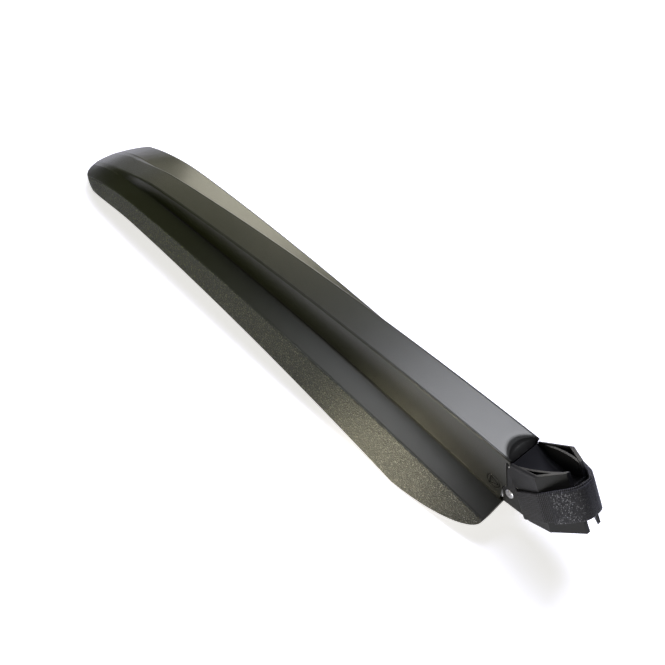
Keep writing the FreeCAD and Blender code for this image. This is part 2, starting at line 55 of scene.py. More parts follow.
# %% [markdown]
# Every finish is a small tree of shader nodes. Pictures wrapped on the pieces would be another way, but
# they blur up close and need an unwrapped mesh. Nodes that read the object's own coordinates work on the
# CAD meshes as they are, and the pattern stays on the piece from every side. A few helpers keep the trees
# short to write.

# %% A material and its nodes


def new_material(name, color, roughness):
    """A material with a principled shader, and that shader to link to."""
    material = bpy.data.materials.new(name)
    material.use_nodes = True
    shader = material.node_tree.nodes["Principled BSDF"]
    shader.inputs["Base Color"].default_value = (*color[:3], 1)
    shader.inputs["Roughness"].default_value = roughness
    return material, shader


def add(material, kind, links=None, **values):
    """Adds a node, links its inputs and sets its plain values."""
    node = material.node_tree.nodes.new(kind)
    for name, value in values.items():
        setattr(node, name, value)
    for socket, source in (links or {}).items():
        if isinstance(source, (int, float, tuple)):
            node.inputs[socket].default_value = source
        else:
            material.node_tree.links.new(source, node.inputs[socket])
    return node


def link(material, source, socket):
    """Joins an output to an input."""
    material.node_tree.links.new(source, socket)


# %% Arithmetic between nodes


def math_node(material, operation, *terms):
    """One arithmetic step. The terms are sockets or numbers."""
    return add(material, "ShaderNodeMath", dict(enumerate(terms)), operation=operation).outputs[0]


def times(material, first, second):
    """Two values multiplied."""
    return math_node(material, "MULTIPLY", first, second)


def minus(material, first, second):
    """The first value less the second."""
    return math_node(material, "SUBTRACT", first, second)


def size_of(material, value):
    """A value without its sign."""
    return math_node(material, "ABSOLUTE", value)


def stretch(material, value, low, high, new_low=0.0, new_high=1.0):
    """Maps low..high to new_low..new_high and clamps it."""
    links = {"Value": value, "From Min": low, "From Max": high, "To Min": new_low, "To Max": new_high}
    return add(material, "ShaderNodeMapRange", links).outputs["Result"]


# %% Places, patterns and colours


def object_place(material):
    """The place on the piece, in metres."""
    return add(material, "ShaderNodeTexCoord").outputs["Object"]


def split(material, vector):
    """The X, Y and Z parts of a place or a direction."""
    return add(material, "ShaderNodeSeparateXYZ", {"Vector": vector}).outputs


def noise(material, place, scale, detail=2.0):
    """A cloudy pattern, from 0 to 1."""
    links = {"Vector": place, "Scale": scale, "Detail": detail}
    return add(material, "ShaderNodeTexNoise", links).outputs["Fac"]


def multiplied(material, color, factor):
    """A plain or linked colour times a grey factor."""
    tint = add(material, "ShaderNodeMix", data_type="RGBA", blend_type="MULTIPLY")
    tint.inputs["Factor"].default_value = 1
    if isinstance(color, tuple):
        tint.inputs["A"].default_value = color
    else:
        link(material, color, tint.inputs["A"])
    link(material, factor, tint.inputs["B"])
    return tint.outputs["Result"]


# %% Relief and soft edges
EDGE_RADIUS = 0.35 * MM
EDGE_SAMPLES = 6


def soft_edges(material, radius):
    """The surface normal, rounded over the edges as a moulded edge is."""
    return add(material, "ShaderNodeBevel", {"Radius": radius}, samples=EDGE_SAMPLES).outputs["Normal"]


def bump(material, shader, height, distance, strength=1.0, normal=None):
    """Fine relief on the shader's normal."""
    node = add(material, "ShaderNodeBump", {"Height": height, "Distance": distance, "Strength": strength})
    if normal is not None:
        link(material, normal, node.inputs["Normal"])
    link(material, node.outputs["Normal"], shader.inputs["Normal"])


# %% [markdown]
# The blade is one near black moulding, slightly olive toward its tail. Its ridge and wings are smooth,
# and its steep skirts have a fine grain, whose sparkle is painted as paler peaks. The grained skirts could
# have a material slot of their own, but a CAD mesh is left as it is, so one material finds them by itself.
# The creases lie at half widths that follow a parabola through three stations along the blade, and the same
# curve finds the foot of the ridge's walls and the edge of its flat top.

# %% Where the blade's creases lie
CREASE_HALF = (27.34, 29.26, 29.37)
TOP_HALF = (12, 10.7, 9)
TOP_HEIGHT = (25.3, 19.1, -2.7)
FOOT_HALF = (12.3, 12.9, 13.0)
FOOT_HEIGHT = (-9.9, -1.1, -8.3)
MIDDLE_X = -195 * MM
STATION_STEP = 190 * MM


def parabola(material, along, values, start=0.0):
    """The curve through a front, a middle and a rear value in millimetres, along the stations."""
    front, middle, rear = (start + value * MM for value in values)
    curve = times(material, times(material, along, along), (front + rear) / 2 - middle)
    curve = math_node(material, "ADD", curve, middle)
    return math_node(material, "MULTIPLY_ADD", along, (rear - front) / 2, curve)


def along_blade(material, axes):
    """How far back a place lies: -1 at the front station, 0 at the middle one and 1 at the rear one."""
    behind = minus(material, PIN.x + MIDDLE_X, axes["X"])
    return math_node(material, "DIVIDE", behind, STATION_STEP)


print("stations at", [round((PIN.x + MIDDLE_X - step * STATION_STEP) / MM, 1) for step in (-1, 0, 1)], "mm")

# %% [markdown]
# Fine dark lines of painted shade give the moulding its crispness. One runs along the foot of the ridge's
# walls, where shade gathers in the crease, and fades out before the tail. One runs just inside the edge
# of the flat top, where its rounded edge turns dark. The sunk lines of the round mark on the right wall
# get painted shade too. They could be painted by hand, but a mask worked out from the place stays sharp at
# any distance.

# %% Painted shade lines on the blade
FOOT_BESIDE = (0.2 * MM, 0.7 * MM)
FOOT_REACH = (0.6 * MM, 1.6 * MM)
FOOT_FADE = (0.7, 0.82)
EDGE_INSET = 1.1 * MM
EDGE_WIDTH = (0.15 * MM, 0.4 * MM)
EDGE_DEPTH = (0.5 * MM, 1.2 * MM)
EDGE_SHADE = 0.8


def foot_shade_line(material, axes, along, past_foot):
    """One along the foot of the ridge's walls: a line of painted shade in the crease."""
    height = minus(material, axes["Z"], parabola(material, along, FOOT_HEIGHT, PIN.z))
    beside = stretch(material, past_foot, *FOOT_BESIDE, 1, 0)
    line = times(material, beside, stretch(material, size_of(material, height), *FOOT_REACH, 1, 0))
    return times(material, line, stretch(material, along, *FOOT_FADE, 1, 0))


def top_edge_shade_line(material, along, side, below_top):
    """A little under one just inside the edge of the flat top: a line of painted shade where the rounded
    edge turns dark.
    """
    inside = minus(material, side, parabola(material, along, TOP_HALF))
    inside = size_of(material, math_node(material, "ADD", inside, EDGE_INSET))
    line = stretch(material, inside, *EDGE_WIDTH, 1, 0)
    line = times(material, line, stretch(material, below_top, *EDGE_DEPTH, 1, 0))
    return times(material, line, EDGE_SHADE)


# %% Painted shade in the round mark's sunk lines
MARK_DISTANCE = 11.6 * MM
MARK_RADIUS = 4.8 * MM
WALL_SIDE = 11.75 * MM
HALF_GROOVE = 0.5 * MM

print("mark radius", round(MARK_RADIUS / MM, 1), "mm")


def groove_shade(material, axes):
    """One in the sunk lines of the round mark on the right wall, where shade is painted into the grooves.
    """
    forward = minus(material, axes["X"], PIN.x - MARK_DISTANCE)
    up = minus(material, axes["Z"], PIN.z)
    squares = math_node(material, "MULTIPLY_ADD", up, up, times(material, forward, forward))
    inside = math_node(material, "LESS_THAN", squares, MARK_RADIUS**2)
    sunk = math_node(material, "COMPARE", axes["Y"], HALF_GROOVE - WALL_SIDE, HALF_GROOVE)
    return times(material, inside, sunk)


# %% [markdown]
# The real wings fall outward toward the tail, and the start of the scoop at the top's front end is soft.
# The solid shows little of either, and a CAD mesh is never changed here, so the shading normal leans
# instead: outward on the wings, more and more toward the tail, and forward just behind the scoop.

# %% The soft start of the scoop
FRONT_END = 4.1 * MM
SCOOP_MIDDLE = 9 * MM
SCOOP_SIDE = 2.8 * MM
SCOOP_HALF = 10.6 * MM
SCOOP_EDGE = 0.3 * MM
SOFT_START = 7 * MM
SCOOP_LEAN = 0.35
SCOOP_POWER = 3.0
TOP_SKIN = (0.2 * MM, 0.6 * MM)


def scoop_curl(material, axes, below_top):
    """How far the top's shading leans forward, just behind the curved start of its scooped front end."""
    share = math_node(material, "DIVIDE", axes["Y"], SCOOP_HALF)
    length = stretch(material, times(material, share, share), 0, 1, SCOOP_MIDDLE, SCOOP_SIDE)
    ahead = math_node(material, "ADD", minus(material, axes["X"], PIN.x - FRONT_END), length)
    near = stretch(material, ahead, -SOFT_START, SCOOP_EDGE)
    on_top = stretch(material, below_top, *TOP_SKIN, 1, 0)
    steep = math_node(material, "POWER", near, SCOOP_POWER)
    return times(material, steep, times(material, on_top, SCOOP_LEAN))


# %% The leaned normal
FLAT_FACING = (0.8, 0.95)
SHARP_LIMIT = 0.05


def leaned_normal(material, side, outward_lean, forward_lean, sharp):
    """The surface normal, softened over edges that aren't sharp and leaned on what faces up or down."""
    normal = soft_edges(material, stretch(material, sharp, 0, SHARP_LIMIT, EDGE_RADIUS, 0))
    facing = split(material, normal)["Z"]
    flat = stretch(material, size_of(material, facing), *FLAT_FACING)
    outward = times(material, math_node(material, "SIGN", side), facing)
    shift = times(material, times(material, outward, flat), outward_lean)
    aside = add(material, "ShaderNodeCombineXYZ", {"X": forward_lean, "Y": shift})
    both = {0: normal, 1: aside.outputs["Vector"]}
    total = add(material, "ShaderNodeVectorMath", both, operation="ADD").outputs["Vector"]
    return add(material, "ShaderNodeVectorMath", {0: total}, operation="NORMALIZE").outputs["Vector"]


# %% [markdown]
# The grain of the skirts is one cloudy noise used twice: it raises the surface, and its peaks are painted
# paler as glints, which gives the warm sparkle. The smooth parts have only a very fine noise and a faint
# cloudiness. The specular tint is slightly yellow, because this plastic reflects its lamps a little olive.

# %% The blade's numbers
BLADE_COLOR = (0.014, 0.014, 0.0118, 1)
TAIL_COLOR = (0.0125, 0.0142, 0.0035, 1)
OLIVE_FROM_TO = (-0.9, 0.5)
BLADE_TINT = (1, 1, 0.75, 1)
SMOOTH_ROUGHNESS = 0.3
SKIRT_ROUGHNESS = 0.5
CREASE_BAND = (-0.3 * MM, 0.5 * MM)
WING_START = (0.3 * MM, 0.9 * MM)
WING_LEAN = 0.52
LEAN_FROM_TO = (-0.8, 1.0)
GRAIN_SCALE = 1250.0
GRAIN_DEPTH = 0.9 * MM
FINE_SCALE = 5200.0
FINE_SHARE = 0.03
CLOUD_SCALE = 14.0
CLOUD_NOISE = (0.3, 0.7)
CLOUD_SHADE = (0.85, 1.15)
SPECKLE_NOISE = (0.54, 0.7)
SPECKLE_GLINT_SHADE = (0.7, 8.5)
LINE_SHADE = 0.1

# %% The blade's relief and colour


def blade_relief(material, place, skirt, normal, shader):
    """Grain on the skirts and a very fine unevenness all over. Gives back the grain, for the colour."""
    grain = noise(material, place, GRAIN_SCALE)
    fine = noise(material, place, FINE_SCALE, detail=1.0)
    relief = math_node(material, "MULTIPLY_ADD", fine, FINE_SHARE, times(material, grain, skirt))
    bump(material, shader, relief, GRAIN_DEPTH, normal=normal)
    return grain


def blade_color(material, place, along, skirt, grain, line):
    """Near black to olive, cloudy on the smooth parts, speckled with painted glints on the skirts and
    darkened with painted shade in the lines.
    """
    cloud = noise(material, place, CLOUD_SCALE, detail=3.0)
    cloud = stretch(material, cloud, *CLOUD_NOISE, *CLOUD_SHADE)
    # The grain's paler peaks are painted glints on the skirts.
    speckle_glints = stretch(material, grain, *SPECKLE_NOISE, *SPECKLE_GLINT_SHADE)
    shade = add(material, "ShaderNodeMix", {"Factor": skirt, "A": cloud, "B": speckle_glints}, data_type="FLOAT")
    # Painted shade darkens the colour in the lines.
    shade = times(material, shade.outputs["Result"], stretch(material, line, 0, 1, 1, LINE_SHADE))
    share = stretch(material, along, *OLIVE_FROM_TO)
    olive = add(material, "ShaderNodeMix", {"Factor": share}, data_type="RGBA")
    olive.inputs["A"].default_value = BLADE_COLOR
    olive.inputs["B"].default_value = TAIL_COLOR
    return multiplied(material, olive.outputs["Result"], shade)


# %% The blade's finish


def blade_material():
    """Smooth black plastic with grained skirts."""
    material, shader = new_material("blade plastic", BLADE_COLOR, SMOOTH_ROUGHNESS)
    shader.inputs["Specular Tint"].default_value = BLADE_TINT
    place = object_place(material)
    axes = split(material, place)
    along = along_blade(material, axes)
    side = size_of(material, axes["Y"])
    skirt = stretch(material, minus(material, side, parabola(material, along, CREASE_HALF)), *CREASE_BAND)
    past_foot = minus(material, side, parabola(material, along, FOOT_HALF))
    below_top = minus(material, parabola(material, along, TOP_HEIGHT, PIN.z), axes["Z"])
    # The foot line, the line inside the top's edge and the mark's grooves are painted shade.
    foot = foot_shade_line(material, axes, along, past_foot)
    line = math_node(material, "MAXIMUM", foot, top_edge_shade_line(material, along, side, below_top))
    line = math_node(material, "MAXIMUM", line, groove_shade(material, axes))
    wing = times(material, stretch(material, past_foot, *WING_START), stretch(material, skirt, 0, 1, 1, 0))
    lean = times(material, wing, stretch(material, along, *LEAN_FROM_TO, 0, WING_LEAN))
    curl = scoop_curl(material, axes, below_top)
    normal = leaned_normal(material, axes["Y"], lean, curl, foot)
    grain = blade_relief(material, place, skirt, normal, shader)
    link(material, blade_color(material, place, along, skirt, grain, line), shader.inputs["Base Color"])
    polish = stretch(material, skirt, 0, 1, SMOOTH_ROUGHNESS, SKIRT_ROUGHNESS)
    link(material, math_node(material, "MAXIMUM", polish, line), shader.inputs["Roughness"])
    return material


# %% [markdown]
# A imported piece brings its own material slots. A new mesh with the same shape could take its place, but
# filling the slots keeps the mesh and its name as they are, so the record still finds the piece.

# %% Dressing a CAD piece


def dress(node, material):
    """Gives a CAD piece its finished surface in its material slots."""
    for slot in frame["nodes"][node].material_slots:
        slot.material = material
    print(node, "wears", material.name, "with", len(material.node_tree.nodes), "nodes")


dress("blade", blade_material())

# %% [markdown]
# The bracket is satin black plastic, with a duller dish between its two inner walls that is darkened with
# painted shade. The dish could have a slot of its own, but the CAD mesh stays whole, so a mask finds it. It
# narrows toward the front, and the bracket tilts up that way, so the mask needs the distance along the
# bracket. A faint cloudy wear in the roughness keeps the satin from looking like plain paint.

# %% The bracket's numbers
BRACKET_LEAN = math.radians(29)
BRACKET_COLOR = (0.012, 0.012, 0.0115, 1)
BRACKET_TINT = (1, 1, 0.9, 1)
BRACKET_ROUGHNESS = 0.42
BRACKET_SPECULAR = 0.3
BRACKET_GRAIN = 2600.0
BRACKET_GRAIN_DEPTH = 0.05 * MM
WEAR_SCALE = 60.0
WEAR_NOISE = (0.35, 0.65)
WEAR_ROUGHNESS = (0.36, 0.5)
DISH_ALONG = (7.4 * MM, 44.2 * MM)
DISH_HALF = (9.8 * MM, 3.0 * MM)
DISH_EDGE = 1.2 * MM
DISH_SHADE = 0.35
DISH_ROUGHER = 0.4

# %% The bracket's finish


def dish_mask(material, axes):
    """One inside the dish between the inner walls, where the finish is duller and painted shade darkens the
    colour.
    """
    forward = times(material, minus(material, axes["X"], PIN.x), math.cos(BRACKET_LEAN))
    up = times(material, minus(material, axes["Z"], PIN.z), math.sin(BRACKET_LEAN))
    along = math_node(material, "ADD", forward, up)
    half = stretch(material, along, *DISH_ALONG, *DISH_HALF)
    inside = minus(material, half, size_of(material, axes["Y"]))
    return stretch(material, inside, 0, DISH_EDGE)


def bracket_material():
    """Satin black plastic, duller and darkened with painted shade in the dish."""
    material, shader = new_material("bracket plastic", BRACKET_COLOR, BRACKET_ROUGHNESS)
    shader.inputs["Specular IOR Level"].default_value = BRACKET_SPECULAR
    shader.inputs["Specular Tint"].default_value = BRACKET_TINT
    place = object_place(material)
    relief = noise(material, place, BRACKET_GRAIN)
    edges = soft_edges(material, EDGE_RADIUS)
    bump(material, shader, relief, BRACKET_GRAIN_DEPTH, strength=0.5, normal=edges)
    dish = dish_mask(material, split(material, place))
    wear = noise(material, place, WEAR_SCALE, detail=3.0)
    wear = stretch(material, wear, *WEAR_NOISE, *WEAR_ROUGHNESS)
    roughness = math_node(material, "MULTIPLY_ADD", dish, DISH_ROUGHER, wear)
    link(material, roughness, shader.inputs["Roughness"])
    # Painted shade darkens the dish.
    shade = stretch(material, dish, 0, 1, 1, DISH_SHADE)
    link(material, multiplied(material, BRACKET_COLOR, shade), shader.inputs["Base Color"])
    return material


dress("bracket", bracket_material())

# %% [markdown]
# The hinge pin is a plain steel rod whose ends show as two bright dots. A metal's colour is all in its
# reflection, so it only needs a metallic shader and a trace of unevenness.

# %% The hinge pin's finish
STEEL_COLOR = (0.72, 0.72, 0.71)
STEEL_ROUGHNESS = 0.34
STEEL_UNEVENNESS = 900.0
STEEL_DEPTH = 0.05 * MM


def pin_material():
    """Dull steel."""
    material, shader = new_material("dull steel", STEEL_COLOR, STEEL_ROUGHNESS)
    shader.inputs["Metallic"].default_value = 1
    relief = noise(material, object_place(material), STEEL_UNEVENNESS)
    bump(material, shader, relief, STEEL_DEPTH, strength=0.4)
    return material


dress("hinge_pin", pin_material())

# %% [markdown]
# The strap is a band of webbing in a loop whose plane tilts up toward the front. Its path is drawn in
# plan, as forward and left of the hinge pin along the bracket: back through the two slots, round the far
# side and round the front. Cloth simulation would be another way, but webbing this short and stiff holds
# its shape, so a band extruded along a drawn path is closer to it.

# %% Where the strap runs
LOOP_RISE = math.radians(19.6)
STRAP_STATION = 8.3
SLOT_SIDE = 13.87
WIDEST = 28.5
WIDEST_SIDE = 16.55
REACH = 55.0
BAND_TOP = 6.6
BAND_FOOT = -12.6
BAND_WIDTH = 0.02
BAND_HALF_THICKNESS = 0.7 * MM
LAYER_STEP = 1.35

print("the loop reaches", REACH, "mm ahead of the pin")


def loop_corners(shrink):
    """The corners round the front, from the far crease to the near one, drawn in by some millimetres."""
    return [
        (WIDEST, WIDEST_SIDE),
        (REACH - 9 - 0.6 * shrink, 6.6 - 0.6 * shrink),
        (REACH - shrink, -1.5),
        (REACH - shrink, -10.4 + 0.8 * shrink),
        (REACH - 7.7, -13.3 + shrink),
        (WIDEST, -WIDEST_SIDE),
    ]


# %% [markdown]
# The drawn corners are sharp, and webbing bends in arcs. A curve object rounds corners too, but a little
# arithmetic gives each corner its own radius. The points are then spaced evenly, so that the faces of the
# band come out alike.

# %% A path with round corners


def round_path(corners, radii, steps=10):
    """An open path of points with its inner corners rounded by arcs."""
    points = [Vector(corners[0])]
    for before, corner, after, radius in zip(corners, corners[1:], corners[2:], radii):
        before, corner, after = Vector(before), Vector(corner), Vector(after)
        incoming = (corner - before).normalized()
        outgoing = (after - corner).normalized()
        turn = incoming.angle(outgoing)
        tangent = radius * math.tan(turn / 2)
        side = 1 if incoming.x * outgoing.y - incoming.y * outgoing.x > 0 else -1
        centre = corner - incoming * tangent + side * radius * Vector((-incoming.y, incoming.x))
        start = corner - incoming * tangent - centre
        for step in range(steps + 1):
            spin = Matrix.Rotation(side * turn * step / steps, 2)
            points.append(centre + spin @ start)
    points.append(Vector(corners[-1]))
    return points


# %% Even spacing along a path
PATH_SPACING = 0.5
TINY = 1e-9


def resample(points, spacing=PATH_SPACING):
    """The same path with points at an even spacing, in millimetres."""
    lengths = [0.0]
    for start, end in zip(points, points[1:]):
        lengths.append(lengths[-1] + (end - start).length)
    count = max(2, round(lengths[-1] / spacing))
    result = []
    index = 0
    for step in range(count + 1):
        wanted = lengths[-1] * step / count
        while index < len(points) - 2 and lengths[index + 1] < wanted:
            index += 1
        share = (wanted - lengths[index]) / max(lengths[index + 1] - lengths[index], TINY)
        result.append(points[index].lerp(points[index + 1], share))
    return result


# %% [markdown]
# A band starts as one ring of vertices, the outline of the webbing with its two rounded edges. The
# extrude operator then pulls that ring along the path, one step at a time. A curve with a bevel profile
# could do this too, but it twists where the path tilts, and here each ring stands square to the bracket.
# Two marks on the vertices, which extruding copies, say which corner of the outline each one is and how
# far along it lies, so the band also gets a map in metres for its weave.

# %% The outline of a band and where its corners go
EDGE_STEPS = 4


def band_outline():
    """The outline's corners: the edge of the band that each is on, and how far out and up it lies."""
    outline = []
    for end in (1, -1):
        for step in range(EDGE_STEPS + 1):
            angle = math.pi * step / EDGE_STEPS
            outline.append((end, math.cos(angle) * end, math.sin(angle)))
    return outline


def to_frame(forward, left, up):
    """A point beside the bracket, in millimetres along and across it, in the row's frame."""
    x = forward * math.cos(BRACKET_LEAN) - up * math.sin(BRACKET_LEAN)
    z = forward * math.sin(BRACKET_LEAN) + up * math.cos(BRACKET_LEAN)
    return PIN + Vector((x, left, z)) * MM


def band_point(path, index, corner, half_thickness, drop, wider):
    """Where a corner of the outline lies at a point of the path."""
    point = path[index]
    along = (path[min(index + 1, len(path) - 1)] - path[max(index - 1, 0)]).normalized()
    end, sideways, endways = corner
    shift = half_thickness * sideways / MM
    rise = math.tan(LOOP_RISE) * (point.x - STRAP_STATION)
    edge = BAND_TOP - drop if end > 0 else BAND_FOOT - drop - wider
    up = edge + end * (endways - 1) * half_thickness / MM + rise
    return to_frame(point.x + along.y * shift, point.y - along.x * shift, up)


# %% Extruding a band


def first_ring(mesh, outline, place_of, corner_mark):
    """The ring of vertices and edges that a band starts from."""
    corners = []
    for number, corner in enumerate(outline):
        vertex = mesh.verts.new(place_of(0, corner))
        vertex[corner_mark] = number
        corners.append(vertex)
    return [mesh.edges.new((corners[number - 1], corners[number])) for number in range(len(corners))]


def map_in_metres(mesh, outline, corner_mark, travel_mark):
    """Smooth shading, and a map that runs along the band in metres and from its foot to its top."""
    uv = mesh.loops.layers.uv.new("band")
    for face in mesh.faces:
        face.smooth = True
        for loop in face.loops:
            height = BAND_WIDTH if outline[loop.vert[corner_mark]][0] > 0 else 0
            loop[uv].uv = (loop.vert[travel_mark], height)


def band(name, path, material, half_thickness, drop=0.0, wider=0.0):
    """Extrudes the outline along a plan path. drop lowers it and wider adds to its foot, in millimetres."""
    outline = band_outline()

    def place_of(index, corner):
        return band_point(path, index, corner, half_thickness, drop, wider)

    mesh = bmesh.new()
    corner_mark = mesh.verts.layers.int.new("corner")
    travel_mark = mesh.verts.layers.float.new("travelled")
    edges = first_ring(mesh, outline, place_of, corner_mark)
    travelled = 0.0
    for index in range(1, len(path)):
        travelled += (path[index] - path[index - 1]).length * MM
        pulled = bmesh.ops.extrude_edge_only(mesh, edges=edges)["geom"]
        edges = [item for item in pulled if isinstance(item, bmesh.types.BMEdge)]
        for vertex in (item for item in pulled if isinstance(item, bmesh.types.BMVert)):
            vertex.co = place_of(index, outline[vertex[corner_mark]])
            vertex[travel_mark] = travelled
    map_in_metres(mesh, outline, corner_mark, travel_mark)
    bmesh.ops.holes_fill(mesh, edges=mesh.edges, sides=len(outline))
    bmesh.ops.recalc_face_normals(mesh, faces=mesh.faces)
    mesh.verts.layers.int.remove(corner_mark)
    mesh.verts.layers.float.remove(mesh.verts.layers.float["travelled"])
    return finished_band(name, mesh, material, travelled)


def finished_band(name, mesh, material, travelled):
    """Makes the mesh an object with its material."""
    data = bpy.data.meshes.new(name)
    mesh.to_mesh(data)
    mesh.free()
    data.materials.append(material)
    thing = bpy.data.objects.new(name, data)
    bpy.context.scene.collection.objects.link(thing)
    print(name, "has", len(data.polygons), "faces and is", round(travelled / MM), "mm long")
    return thing


# %% [markdown]
# Webbing is ribs along the band crossed by its weft. Two sine waves on the band's own map, one along it
# and one across, make both. Their height raises the cords, paints shade into the hollows and paints the
# cords paler as highlight. Modelled threads would be true to life, but they would cost thousands of faces
# for a pattern a millimetre wide.

# %% Woven webbing
WEBBING_COLOR = (0.0098, 0.0094, 0.008, 1)
RIB_PITCH = 1.15 * MM
CORD_PITCH = 1.5 * MM
WEAVE_DEPTH = 0.3 * MM
WEAVE_SHADE = (0.4, 2.2)
WEBBING_ROUGHNESS = 0.65
WEBBING_SHEEN = 0.08
FABRIC_SPECULAR = 0.3


def band_map(material):
    """The place along and across a band, in metres."""
    return add(material, "ShaderNodeUVMap", uv_map="band").outputs["UV"]


def wave(material, value, pitch):
    """A sine wave of a pitch."""
    return math_node(material, "SINE", times(material, value, math.tau / pitch))


def webbing_material():
    """Ribbed black webbing: cords along the band, crossed by the weft, with painted shade in the hollows
    and painted highlight on the cords.
    """
    material, shader = new_material("webbing", WEBBING_COLOR, WEBBING_ROUGHNESS)
    shader.inputs["Sheen Weight"].default_value = WEBBING_SHEEN
    shader.inputs["Specular IOR Level"].default_value = FABRIC_SPECULAR
    axes = split(material, band_map(material))
    rib = wave(material, axes["X"], RIB_PITCH)
    weave = times(material, rib, wave(material, axes["Y"], CORD_PITCH))
    relief = math_node(material, "MULTIPLY_ADD", weave, 0.5, times(material, rib, 0.5))
    bump(material, shader, relief, WEAVE_DEPTH, strength=0.9)
    # Painted shade in the weave's hollows, painted highlight on its cords.
    shade = stretch(material, relief, -1, 1, *WEAVE_SHADE)
    link(material, multiplied(material, WEBBING_COLOR, shade), shader.inputs["Base Color"])
    return material


# %% The loop of the strap
CORNER_RADII = [2, 2, 5, 8, 6, 5.5, 14]

slots = [(STRAP_STATION, -SLOT_SIDE), (STRAP_STATION, SLOT_SIDE)]
inner_corners = loop_corners(LAYER_STEP)
ring_path = round_path(inner_corners[-1:] + slots + inner_corners, CORNER_RADII)
strap_band = band("strap_band", resample(ring_path), webbing_material(), BAND_HALF_THICKNESS)
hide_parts("strap")
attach(strap_band, "bracket")

# %% [markdown]
# The strap's free end is a layer of hook and loop tape over the front of the loop, a little lower than
# the band under it. It starts past the far crease and ends on the near side. Near that end it is sewn
# down with many pale stitches. A Voronoi texture gives a jittered grid of small spots, and a random
# number for each spot leaves some out, which looks more like worn stitching than a perfect grid does.

# %% Where the tape ends
END_STATION = 34.5
TAPE_HALF_THICKNESS = 0.65 * MM
TAPE_DROP = 0.8
TAPE_WIDER = 0.6
TAPE_RADII = [8, 6, 5.5, 14]
TAPE_START = (WIDEST + 4, WIDEST_SIDE - 1.4)
NEAR_SIDE = -8


def clip_path(points, station):
    """The stretch of a front path up to where it comes back to a station on the near side."""
    kept = [points[0]]
    for before, point in zip(points, points[1:]):
        if point.y < NEAR_SIDE and point.x < station:
            kept.append(before.lerp(point, (before.x - station) / (before.x - point.x)))
            break
        kept.append(point)
    return kept


outer_corners = loop_corners(0)
outer_corners[0] = TAPE_START
tape_path = clip_path(round_path(outer_corners, TAPE_RADII), END_STATION)
tape_length = sum((end - start).length for start, end in zip(tape_path, tape_path[1:])) * MM
print("tape path", round(tape_length / MM, 1), "mm")

# %% Hook and loop tape with stitches near its end
TAPE_COLOR = (0.0102, 0.0102, 0.0102, 1)
PILE_SCALE = 1500.0
PILE_DEPTH = 0.35 * MM
PILE_NOISE = (0.35, 0.7)
PILE_SHADE = (0.3, 2.4)
PILE_ROUGHNESS = 0.75
PILE_SHEEN = 0.1
STITCH_SCALE = 1350.0
STITCH_JITTER = 0.6
STITCH_STRETCH = (1, 0.62, 1)
STITCH_SPOT = (0.2, 0.5)
STITCH_CHOICE = (0.2, 0.8)
STITCH_BRIGHT = 28.0
SEWN_FROM = (21 * MM, 13 * MM)
FAINT_BEFORE = 0.06
HEM = (3.5 * MM, 1.2 * MM)


def stitches(material, place, length):
    """One on a stitch, only near the end of a tape of a length and not on its hem."""
    stretched = add(material, "ShaderNodeVectorMath", {0: place, 1: STITCH_STRETCH}, operation="MULTIPLY")
    grid = {"Vector": stretched.outputs["Vector"], "Scale": STITCH_SCALE, "Randomness": STITCH_JITTER}
    threads = add(material, "ShaderNodeTexVoronoi", grid)
    chosen = split(material, threads.outputs["Color"])["X"]
    stitch = stretch(material, threads.outputs["Distance"], *STITCH_SPOT, 1, 0)
    stitch = times(material, stitch, stretch(material, chosen, *STITCH_CHOICE))
    along = split(material, place)["X"]
    near_end = stretch(material, along, length - SEWN_FROM[0], length - SEWN_FROM[1], FAINT_BEFORE, 1)
    before_hem = stretch(material, along, length - HEM[0], length - HEM[1], 1, 0)
    return times(material, times(material, stitch, near_end), before_hem)


def loop_pile_material(length):
    """Dense dark pile, with pale stitches near the tape's end."""
    material, shader = new_material("loop pile", TAPE_COLOR, PILE_ROUGHNESS)
    shader.inputs["Sheen Weight"].default_value = PILE_SHEEN
    shader.inputs["Specular IOR Level"].default_value = FABRIC_SPECULAR
    pile = noise(material, object_place(material), PILE_SCALE, detail=3.0)
    stitch = stitches(material, band_map(material), length)
    relief = math_node(material, "ADD", pile, stitch)
    bump(material, shader, relief, PILE_DEPTH, strength=0.9)
    shade = stretch(material, pile, *PILE_NOISE, *PILE_SHADE)
    shade = math_node(material, "MULTIPLY_ADD", stitch, STITCH_BRIGHT, shade)
    link(material, multiplied(material, TAPE_COLOR, shade), shader.inputs["Base Color"])
    return material


# %% The strap's free end
tape_material = loop_pile_material(tape_length)
tape_points = resample(tape_path)
tape = band("strap_end", tape_points, tape_material, TAPE_HALF_THICKNESS, TAPE_DROP, TAPE_WIDER)
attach(tape, "bracket")

# %% [markdown]
# The guard stands on plain white paper. The paper glows a little, as paper in a bright room does, and the
# camera sees it whiter than the guard does, so that the background is white without more light on the
# guard. Close to the guard it keeps a faint shadow, and further out it turns fully white.

# %% White paper
PAPER_COLOR = (0.82, 0.82, 0.82)
PAPER_TINT = (1, 0.99, 0.96, 1)
PAPER_ROUGHNESS = 0.9
PAPER_GLOW = 0.4
PAPER_WHITE = 0.7
WHITE_FROM_TO = (0.3, 0.7)
PAPER_SIZE = 8


def paper_material():
    """White paper whose glow the camera sees brighter, and brightest away from the guard."""
    material, shader = new_material("paper", PAPER_COLOR, PAPER_ROUGHNESS)
    shader.inputs["Emission Color"].default_value = PAPER_TINT
    seen = add(material, "ShaderNodeLightPath").outputs["Is Camera Ray"]
    reach = add(material, "ShaderNodeVectorMath", {0: object_place(material)}, operation="LENGTH")
    white = stretch(material, reach.outputs["Value"], *WHITE_FROM_TO, PAPER_WHITE, 1)
    choices = {"Factor": seen, "A": PAPER_GLOW, "B": white}
    strength = add(material, "ShaderNodeMix", choices, data_type="FLOAT")
    link(material, strength.outputs["Result"], shader.inputs["Emission Strength"])
    return material


